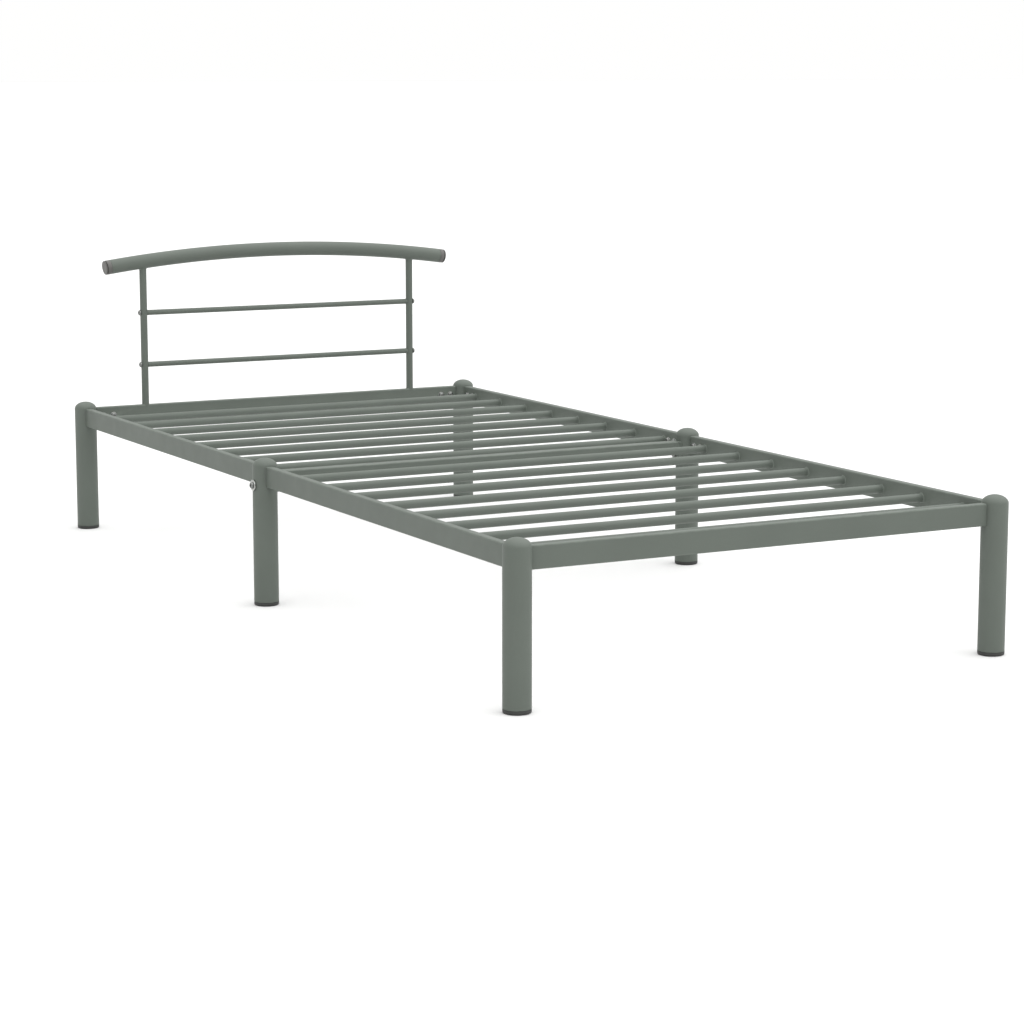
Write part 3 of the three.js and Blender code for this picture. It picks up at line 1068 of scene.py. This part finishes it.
@dataclass
class Rails(SubAssembly):
    """The six rails with the bracket and the two bolts in each end."""

    end_round: float = 0.2 * MM
    end_back: float = 0.25 * MM
    plain_from: float = 40 * MM  # from each leg's axis to where the rail is plain
    tongue_thickness: float = 8 * MM
    tongue_height: float = 30 * MM
    tongue_corner: float = 1 * MM
    tongue_lead: float = 0.5 * MM
    tongue_tip: tuple[float, float] = (0.88, 0.97)  # the end's width and height, as shares
    tongue_end: float = 15 * MM
    bolt_pitch: float = 24 * MM
    bolt_reach: float = 7.8 * MM
    bays: int = 10
    bolt: Fastener = Fastener(
        head=13 * MM,
        head_height=4.4 * MM,
        shank=8 * MM,
        socket=5 * MM,
        washer=16 * MM,
        washer_height=1.2 * MM,
    )

    def build(self) -> None:
        """Makes the rails."""
        for row in (Row.HEAD, Row.FOOT):
            ends = {side.word: middle(f"leg_{row.value}_{side.word}") for side in Side}
            self.build_rail(f"{row.value}_rail", ends)
        halves = {Row.HEAD: (Row.MID, Row.HEAD), Row.FOOT: (Row.FOOT, Row.MID)}
        for side in Side:
            for outer, rows in halves.items():
                ends = {row.value: middle(f"leg_{row.value}_{side.word}") for row in rows}
                self.build_rail(f"side_rail_{outer.value}_{side.word}", ends)

    def build_rail(self, node: str, ends: dict[str, Vector]) -> None:
        """Makes a rail between two legs, with its brackets.

        Args:
            node: The rail's node.
            ends: The middle of the leg at each end, by the end's name.
        """
        box = size(node)
        start, stop = ends.values()
        forward = (stop - start).normalized()
        centre = middle(node)
        inward = self.inward(forward, centre)
        half = (stop - start).length / 2
        thickness = min(box.x, box.y)
        place = axes(inward, UP, forward, centre)
        rings = self.rail_rings(thickness, box.z, half, place)
        holes = []
        for sign, end in zip((-1, 1), ends):
            bracket = f"{node}_bracket_{end}"
            spots = self.bolt_spots(bracket, forward * sign)
            for spot in spots:
                seat = centre + inward * (thickness / 2) + forward * (spot - centre).dot(forward)
                holes.append(Hole(seat, inward, BOLT_HOLE_RADIUS, 4 * TUBE_WALL))
            self.build_bracket(bracket, ends[end], -forward * sign, inward, thickness, spots)
        self.add_piece(node, Draft().skin(rings, closed=True), PAINT, holes=holes)

    def rail_rings(
        self, thickness: float, height: float, half: float, place: Matrix
    ) -> list[Ring]:
        """The rings of a rail, whose ends are hollowed to fit the legs.

        Args:
            thickness: The rail's thickness.
            height: The rail's height.
            half: Half the distance between the legs' axes.
            place: Where the rail goes.

        Returns:
            The rings, along the outside and back along the inside.
        """
        outer, inner = tube_outlines(thickness, height)
        reach = LEG_RADIUS + FIT
        left, right = (
            [
                laid(grown(outer, -self.end_round), place, saddle(reach, half, sign)),
                laid(outer, place, saddle(reach, half, sign, self.end_back)),
            ]
            for sign in (-1, 1)
        )
        plain = half - self.plain_from
        runs = run(outer, place, -plain, plain, self.bays)
        bore = [laid(inner, place, saddle(reach, half, sign)) for sign in (1, -1)]
        return [*left, *runs, *reversed(right), *bore]

    def inward(self, forward: Vector, centre: Vector) -> Vector:
        """The direction from a rail to the middle of the bed.

        Args:
            forward: The rail's own direction.
            centre: The rail's middle.

        Returns:
            The direction, square to the rail.
        """
        across = Vector((-forward.y, forward.x, 0.0))
        return -across if across.dot(centre) > 0 else across

    def bolt_spots(self, bracket: str, outward: Vector) -> list[Vector]:
        """Where a bracket's two bolts are.

        Args:
            bracket: The bracket's node.
            outward: The direction along the rail towards the bracket's leg.

        Returns:
            A point on the axis of each bolt.
        """
        tip = middle(bracket) - outward * abs(size(bracket).dot(outward)) / 2
        return [tip + outward * (self.tongue_end + extra) for extra in (0.0, self.bolt_pitch)]

    def build_bracket(
        self,
        node: str,
        leg: Vector,
        away: Vector,
        inward: Vector,
        thickness: float,
        spots: list[Vector],
    ) -> None:
        """Makes a bracket: the tongue on the leg, and the bolts that hold the rail to it.

        Args:
            node: The bracket's node.
            leg: The middle of the leg.
            away: The direction along the rail from the leg.
            inward: The direction in to the bed.
            thickness: The rail's thickness.
            spots: A point on the axis of each bolt.
        """
        low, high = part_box(node)
        origin = Vector((leg.x, leg.y, (low.z + high.z) / 2))
        length = max(abs((corner - origin).dot(away)) for corner in (low, high))
        place = axes(inward, UP, away, origin)
        outline = rounded_outline(
            self.tongue_thickness, self.tongue_height, self.tongue_corner, steps=3
        )
        reach = LEG_RADIUS + FIT
        pole = [Vector((0.0, 0.0))]
        rings = [
            laid(pole, place, reach),
            laid(outline, place, saddle(reach, 0.0, -1)),
            laid(outline, place, length - self.tongue_lead),
            laid(stretched(outline, *self.tongue_tip), place, length),
            laid(pole, place, length),
        ]
        draft = Draft().skin(rings, mark=1)
        for spot in spots:
            seat = origin + away * (spot - origin).dot(away) + inward * (thickness / 2 + FIT)
            self.bolt.add_to(draft, along(inward, seat), self.bolt_reach)
        self.add_piece(node, draft, GREY_ZINC, ZINC)


@dataclass
class Slats(SubAssembly):
    """The round slats, each with a weld bead at its two ends."""

    bead: WeldBead = WeldBead(size=1.9 * MM, length=2.4 * MM, ripples=13)
    phase_step: float = 40.0  # turns each slat's ripples, so that no two look alike
    plain_from: float = 10 * MM  # from each end to where the slat is plain
    bays: int = 10
    sides: int = 40

    def build(self) -> None:
        """Makes the slats."""
        for node in sorted(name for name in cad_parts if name.startswith("slat_")):
            self.build_slat(node)

    def build_slat(self, node: str) -> None:
        """Makes a slat.

        Args:
            node: The slat's node.
        """
        centre = middle(node)
        radius = size(node).z / 2
        half = size(node).x / 2 + FIT
        place = crosswise(centre)
        phase = self.phase_step * centre.y + half
        welds = self.bead.outlines(radius, self.sides, phase)
        left = [laid(outline, place, height - half) for outline, height in reversed(welds)]
        right = [laid(outline, place, half - height) for outline, height in welds]
        plain = half - self.plain_from
        runs = run(circle(radius, self.sides), place, -plain, plain, self.bays)
        bore = run(circle(radius - THIN_WALL, self.sides), place, half, -half)
        draft = Draft().skin([*left, *runs, *right, *bore], closed=True)
        self.add_piece(node, draft, PAINT)


@dataclass
class CentreTie(SubAssembly):
    """The cross tube between the mid legs, and the bolts that hold it."""

    tube_height: float = 15 * MM
    plain_from: float = 10 * MM  # from each plate to where the tube is plain
    bays: int = 10
    bead: WeldBead = WeldBead(size=1.8 * MM, length=1.8 * MM, steps=4)
    plate_thickness: float = 4.5 * MM
    plate_corner: float = 2 * MM
    plate_chamfer: float = 0.4 * MM
    plate_face: float = 0.965  # the flat face's size, as a share of the plate's
    plate_overlap: float = 0.02 * MM
    plate_hole_depth: float = 30 * MM
    nut_flats: float = 13 * MM
    nut_height: float = 6.5 * MM
    nut_bore: float = 4.02 * MM
    nut_countersink: float = 0.5 * MM
    nut_chamfer: float = 0.9 * MM
    nut_face: float = 0.96  # the round face's size, as a share of the size across the flats
    bolt: Fastener = Fastener(
        head=13 * MM,
        head_height=4.6 * MM,
        shank=8 * MM,
        socket=5 * MM,
        washer=22 * MM,
        washer_height=1.8 * MM,
        threaded=22 * MM,
    )

    def build(self) -> None:
        """Makes the cross tube and the bolts."""
        self.build_tube()
        for side in Side:
            self.build_bolt(side)

    def build_tube(self) -> None:
        """Makes the cross tube with a saddle plate at each end."""
        node = "centre_cross_tube"
        leg_x = middle("leg_mid_right").x
        face = leg_x - LEG_RADIUS - FIT - self.plate_thickness
        draft = Draft().skin(self.tube_rings(size(node).y, face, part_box(node)[1].z), closed=True)
        holes = []
        for side in Side:
            bolt = middle(f"centre_bolt_{side.word}")
            self.add_plate(draft, side.value, leg_x, face)
            spot = Vector((side.value * face, bolt.y, bolt.z))
            holes.append(Hole(spot, ACROSS, BOLT_HOLE_RADIUS, self.plate_hole_depth))
        self.add_piece(node, draft, PAINT, holes=holes)

    def tube_rings(self, width: float, face: float, top: float) -> list[Ring]:
        """The rings of the cross tube, whose weld beads stay below its top.

        Args:
            width: Its width.
            face: How far out each end is.
            top: The height of its top.

        Returns:
            The rings, along the outside and back along the inside.
        """
        height = self.tube_height
        place = crosswise(Vector((0.0, middle("centre_cross_tube").y, top - height / 2)))
        outer, inner = tube_outlines(width, height)
        welds = [
            ([Vector((p.x, min(p.y, height / 2))) for p in grown(outer, stand)], back)
            for stand, back in self.bead.flare()
        ]
        plain = face - self.plain_from
        return [
            *(laid(outline, place, back - face) for outline, back in reversed(welds)),
            *run(outer, place, -plain, plain, self.bays),
            *(laid(outline, place, face - back) for outline, back in welds),
            *run(inner, place, face, -face),
        ]

    def add_plate(self, draft: Draft, sign: int, leg_x: float, face: float) -> None:
        """Adds a saddle plate.

        Args:
            draft: The draft to add it to.
            sign: Which side it is on.
            leg_x: How far out the mid legs' axes are.
            face: How far out the plate's flat face is.
        """
        box = size("centre_cross_tube")
        place = crosswise(middle("centre_cross_tube"))
        outline = rounded_outline(box.y, box.z, self.plate_corner)
        reach = LEG_RADIUS + FIT
        flat = face + self.plate_overlap
        pole = [Vector((0.0, 0.0))]
        draft.skin(
            [
                laid(pole, place, sign * flat),
                laid(stretched(outline, self.plate_face, self.plate_face), place, sign * flat),
                laid(outline, place, sign * (flat + self.plate_chamfer)),
                laid(outline, place, saddle(reach, leg_x, sign)),
                laid(pole, place, sign * (leg_x - reach)),
            ]
        )

    def build_bolt(self, side: Side) -> None:
        """Makes a centre bolt with its washer and its nut.

        Args:
            side: Which side it is on.
        """
        node = f"centre_bolt_{side.word}"
        low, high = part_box(node)
        axis = middle(node)
        leg_x = abs(middle(f"leg_mid_{side.word}").x)
        seat = Vector((side.value * (leg_x + LEG_RADIUS + FIT), axis.y, axis.z))
        nut_face = leg_x - LEG_RADIUS - 2 * FIT - self.plate_thickness
        nut_seat = Vector((side.value * nut_face, axis.y, axis.z))
        tip = low.x if side is Side.RIGHT else high.x
        out = ACROSS * side.value
        draft = Draft()
        self.bolt.add_to(draft, along(out, seat), abs(seat.x - tip))
        draft.turn(self.nut_profile(), TURNED_SIDES, along(-out, nut_seat), closed=True)
        self.add_piece(node, draft, GREY_ZINC, ZINC)

    def nut_profile(self) -> list[tuple[float, ...]]:
        """The nut's section, chamfered at both faces and countersunk at both ends of its bore."""
        half = self.nut_flats / 2
        top = self.nut_height
        flats = 6
        return [
            (self.nut_bore + self.nut_countersink, 0.0),
            (half * self.nut_face, 0.0),
            (half, self.nut_chamfer, flats),
            (half, top - self.nut_chamfer, flats),
            (half * self.nut_face, top),
            (self.nut_bore + self.nut_countersink, top),
            (self.nut_bore, top - self.nut_countersink),
            (self.nut_bore, self.nut_countersink),
        ]


@dataclass
class Headboard(SubAssembly):
    """The arch, its plugs, the uprights, the rods and the screws."""

    rise: float = 30 * MM
    half_span: float = 424 * MM
    arch_ease: float = 0.35 * MM
    arch_stations: int = 72
    bore_stations: int = 36
    plug_lip: float = 14 * MM
    plug_spigot: float = 14 * MM
    plug_lead: float = 2 * MM
    plug_taper: float = 1 * MM
    collar_round: float = 0.5 * MM
    collar_groove_round: float = 0.4 * MM
    disc_thickness: float = 2.4 * MM
    disc_inset: float = 0.2 * MM
    disc_back_inset: float = 0.5 * MM
    disc_edge: float = 2.1 * MM
    disc_edge_steps: int = 8
    recess_inset: float = 6 * MM
    recess_slope: float = 0.4 * MM
    recess_depth: float = 0.3 * MM
    gate_radius: float = 1.4 * MM
    gate_slope: float = 0.2 * MM
    gate_rise: float = 0.15 * MM
    groove_width: float = 2.2 * MM
    groove_depth: float = 3 * MM
    bead: WeldBead = WeldBead(size=2.0 * MM, length=2.6 * MM, ripples=11)
    upright_plain_from: float = 8 * MM  # from each end to where the upright is plain
    upright_bays: int = 8
    rod_plain_from: float = 20 * MM  # from each upright's axis to where the rod is plain
    rod_bays: int = 8
    rod_ease: float = 0.25 * MM
    bore_depth: float = 25 * MM
    bore_point: float = 2 * MM
    screw_hole: float = 3.4 * MM
    screw_reach: float = 34 * MM
    screw: Fastener = Fastener(
        head=12.4 * MM,
        head_height=4.2 * MM,
        shank=6 * MM,
        socket=4 * MM,
        threaded=24 * MM,
        thread_pitch=1.0 * MM,
        thread_depth=0.3 * MM,
    )

    def __post_init__(self) -> None:
        """Works out the arch's circle from its node."""
        self.plane = middle("headboard_arch").y
        self.tube = size("headboard_arch").y / 2
        self.radius = (self.half_span**2 + self.rise**2) / (2 * self.rise)
        self.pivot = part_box("headboard_arch")[1].z - self.tube - self.radius
        end_angle = math.asin(self.half_span / self.radius)
        self.tube_angle = end_angle - (self.plug_lip + FIT) / self.radius

    def axis_point(self, angle: float) -> Vector:
        """A point on the arch's axis, at an angle from the middle of the bed."""
        x = self.radius * math.sin(angle)
        return Vector((x, self.plane, self.pivot + self.radius * math.cos(angle)))

    def build(self) -> None:
        """Makes the headboard."""
        self.build_arch()
        for side in Side:
            self.build_plug(side)
            self.build_upright(side)
        for level in Level:
            self.build_rod(level)
            for side in Side:
                self.build_screw(level, side)

    def arch_ring(self, angle: float, reach: float) -> Ring:
        """A ring round the arch's axis.

        Args:
            angle: Its angle from the middle of the bed.
            reach: Its radius.

        Returns:
            The ring.
        """
        out = Vector((math.sin(angle), 0, math.cos(angle)))
        place = axes(out, LENGTHWAYS, out.cross(LENGTHWAYS), self.axis_point(angle))
        return laid(circle(reach, TURNED_SIDES), place)

    def build_arch(self) -> None:
        """Makes the arch tube."""
        end = self.tube_angle
        back = end - self.arch_ease / self.radius
        bore = self.tube - TUBE_WALL
        rings = [
            self.arch_ring(-end, self.tube - self.arch_ease),
            *(self.arch_ring(a, self.tube) for a in spaced(-back, back, self.arch_stations)),
            self.arch_ring(end, self.tube - self.arch_ease),
            *(self.arch_ring(a, bore) for a in spaced(end, -end, self.bore_stations)),
        ]
        self.add_piece("headboard_arch", Draft().skin(rings, closed=True), PAINT)

    def plug_profile(self) -> list[Band]:
        """A plug's section, from the end of its spigot to the middle of its end disc."""
        spigot = self.tube - TUBE_WALL - FIT
        end = FIT + self.plug_lip
        disc = end - self.disc_thickness
        groove = disc - self.groove_width
        collar = self.collar_round
        lip = self.collar_groove_round
        corner = (self.tube - self.disc_inset - self.disc_edge, end - self.disc_edge)
        return [
            (0.0, -self.plug_spigot),
            (spigot - self.plug_taper, -self.plug_spigot),
            (spigot, self.plug_lead - self.plug_spigot),
            (spigot, FIT),
            (self.tube - 0.9 * collar, FIT),
            (self.tube - 0.2 * collar, FIT + 0.3 * collar),
            (self.tube, FIT + collar),
            (self.tube, groove - lip),
            (self.tube - 0.375 * lip, groove - 0.25 * lip),
            (self.tube - lip, groove),
            (self.tube - self.groove_depth, groove),
            (self.tube - self.groove_depth, disc),
            (self.tube - self.disc_back_inset, disc),
            *quarter_round(corner, self.disc_edge, self.disc_edge, self.disc_edge_steps),
            (self.tube - self.recess_inset, end),
            (self.tube - self.recess_inset - self.recess_slope, end - self.recess_depth),
            (self.gate_radius, end - self.recess_depth),
            (self.gate_radius - self.gate_slope, end - self.gate_rise),
            (0.0, end - self.gate_rise),
        ]

    def build_plug(self, side: Side) -> None:
        """Makes the plug in one end of the arch.

        Args:
            side: Which end.
        """
        angle = side.value * self.tube_angle
        out = Vector((math.cos(angle), 0, -math.sin(angle))) * side.value
        place = along(out, self.axis_point(angle))
        draft = Draft().turn(self.plug_profile(), TURNED_SIDES, place)
        self.add_piece(f"arch_plug_{side.word}", draft, PLUG_PLASTIC)

    def under_arch(self, x: float, across: float) -> float:
        """The height of the arch's underside.

        Args:
            x: How far out the point is.
            across: How far it is from the headboard's plane.

        Returns:
            The height.
        """
        angle = math.asin(x / self.radius)
        drop = math.sqrt(max(self.tube**2 - across**2, 0.0)) / math.cos(angle)
        return self.axis_point(angle).z - drop

    def on_rail(self, across: float, half: float, top: float) -> float:
        """The height of the head rail's rounded top.

        Args:
            across: How far the point is from the rail's middle plane.
            half: Half the rail's thickness.
            top: The height of the rail's flat top.

        Returns:
            The height.
        """
        into = min(max(abs(across) - (half - TUBE_CORNER), 0.0), TUBE_CORNER)
        return top - TUBE_CORNER + math.sqrt(TUBE_CORNER**2 - into**2)

    def build_upright(self, side: Side) -> None:
        """Makes an upright, welded to the head rail and to the arch.

        Args:
            side: Which side.
        """
        node = f"headboard_upright_{side.word}"
        x = middle(node).x
        radius = size(node).x / 2
        rail_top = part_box("head_rail")[1].z
        half_rail = size("head_rail").y / 2
        place = Matrix.Translation((x, self.plane, 0.0))

        def foot(lift: float) -> Depth:
            """The heights of a ring that stands on the rail, lifted a little."""
            return lambda point: self.on_rail(point.y, half_rail, rail_top) + lift

        def head(drop: float) -> Depth:
            """The heights of a ring that meets the arch, lowered a little."""
            return lambda point: self.under_arch(x + point.x, point.y) - drop

        lower = self.bead.outlines(radius, TURNED_SIDES, side.value, pinched=True)
        upper = self.bead.outlines(radius, TURNED_SIDES, side.value)
        outer = circle(radius, TURNED_SIDES)
        inner = circle(radius - THIN_WALL, TURNED_SIDES)
        top = self.under_arch(x, 0.0)
        plain = (rail_top + self.upright_plain_from, top - self.upright_plain_from)
        rings = [
            *(laid(outline, place, foot(lift)) for outline, lift in reversed(lower)),
            *run(outer, place, *plain, self.upright_bays),
            *(laid(outline, place, head(drop)) for outline, drop in upper),
            *run(inner, place, top, rail_top),
        ]
        holes = []
        for level in Level:
            height = middle(f"rod_screw_{level.value}_{side.word}").z
            spot = Vector((x, self.plane, height))
            holes.append(Hole(spot, ACROSS, self.screw_hole, 4 * radius))
        self.add_piece(node, Draft().skin(rings, closed=True), PAINT, holes=holes)

    def build_rod(self, level: Level) -> None:
        """Makes a rod, hollowed at its ends to fit the uprights and bored for its screws.

        Args:
            level: Which rod.
        """
        node = f"headboard_rod_{level.value}"
        radius = size(node).z / 2
        post = middle("headboard_upright_right").x
        post_radius = size("headboard_upright_right").x / 2
        reach = post_radius + FIT
        bottom = post - post_radius - self.bore_depth
        place = crosswise(middle(node))
        bore = circle(self.screw_hole, TURNED_SIDES)
        eased = circle(radius - self.rod_ease, TURNED_SIDES)
        outer = circle(radius, TURNED_SIDES)
        left, right = (
            [
                laid([Vector((0.0, 0.0))], place, sign * (bottom - self.bore_point)),
                laid(bore, place, sign * bottom),
                laid(bore, place, saddle(reach, post, sign)),
                laid(eased, place, saddle(reach, post, sign)),
                laid(outer, place, saddle(reach, post, sign, self.rod_ease)),
            ]
            for sign in (-1, 1)
        )
        plain = post - self.rod_plain_from
        runs = run(outer, place, -plain, plain, self.rod_bays)
        self.add_piece(node, Draft().skin([*left, *runs, *reversed(right)]), PAINT)

    def build_screw(self, level: Level, side: Side) -> None:
        """Makes the screw that holds one end of a rod.

        Args:
            level: Which rod.
            side: Which end.
        """
        node = f"rod_screw_{level.value}_{side.word}"
        low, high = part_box(node)
        axis = middle(node)
        outer = high.x if side is Side.RIGHT else low.x
        seat = Vector((outer - side.value * self.screw.head_height, axis.y, axis.z))
        draft = Draft()
        self.screw.add_to(draft, along(ACROSS * side.value, seat), self.screw_reach)
        self.add_piece(node, draft, GREY_ZINC, ZINC)


# ---- Studio ----


@dataclass
class Studio:
    """The pale floor, the soft light and the camera."""

    floor_size: float = 400.0
    floor_colour: Colour = (0.70, 0.70, 0.698)
    floor_mottle: float = 0.01
    floor_grain: float = 0.8
    floor_roughness: float = 0.9
    floor_specular: float = 0.1
    surround: float = 1.0
    surround_colour: Colour = (1.0, 1.0, 0.995)
    top_light: float = 2.7
    top_light_spread: float = math.radians(100)
    top_light_tilt: tuple[float, float, float] = (math.radians(10), math.radians(12), 0.0)
    camera_place: tuple[float, float, float] = (-2.5118, -4.8246, 1.0218)
    camera_yaw: float = -0.4901
    camera_pitch: float = -0.1598
    lens: float = 96.45
    sensor_width: float = 36.0
    clip_end: float = 600.0

    def build(self) -> None:
        """Makes the studio."""
        self.build_floor()
        self.build_lights()
        self.build_camera()
        bpy.context.scene.view_settings.view_transform = "Standard"

    def build_floor(self) -> None:
        """Makes the floor."""
        half = self.floor_size / 2
        mesh = bpy.data.meshes.new("floor")
        corners = [(x * half, y * half, 0.0) for x, y in ((-1, -1), (1, -1), (1, 1), (-1, 1))]
        mesh.from_pydata(corners, [], [(0, 1, 2, 3)])
        sketch = Sketch("pale_floor")
        factors = (1 - self.floor_mottle, 1 + self.floor_mottle)
        dark, light = (scaled(self.floor_colour, factor) for factor in factors)
        mesh.materials.append(
            sketch.finish(
                Base_Color=sketch.blend(sketch.noise(self.floor_grain), dark, light),
                Roughness=self.floor_roughness,
                Specular_IOR_Level=self.floor_specular,
            )
        )
        floor = bpy.data.objects.new("floor", mesh)
        bpy.context.scene.collection.objects.link(floor)

    def build_lights(self) -> None:
        """Makes the even surround and the large light overhead."""
        world = bpy.data.worlds.new("surround")
        world.use_nodes = True
        background = world.node_tree.nodes["Background"]
        background.inputs["Color"].default_value = (*self.surround_colour, 1.0)
        background.inputs["Strength"].default_value = self.surround
        bpy.context.scene.world = world
        lamp = bpy.data.lights.new("top_light", "SUN")
        lamp.energy = self.top_light
        lamp.angle = self.top_light_spread
        light = bpy.data.objects.new("top_light", lamp)
        light.rotation_euler = self.top_light_tilt
        bpy.context.scene.collection.objects.link(light)

    def build_camera(self) -> None:
        """Makes the camera."""
        lens = bpy.data.cameras.new("camera")
        lens.lens = self.lens
        lens.sensor_width = self.sensor_width
        lens.clip_end = self.clip_end
        camera = bpy.data.objects.new("camera", lens)
        camera.location = self.camera_place
        camera.rotation_euler = (TURN / 4 + self.camera_pitch, 0.0, self.camera_yaw)
        bpy.context.scene.collection.objects.link(camera)
        bpy.context.scene.camera = camera


def main() -> None:
    """Builds the bed and the studio."""
    logging.basicConfig(level=logging.INFO, format="%(name)s: %(message)s")
    for group in (Legs(), Rails(), Slats(), CentreTie(), Headboard()):
        group.build()
    Studio().build()


if __name__ == "__main__":
    main()
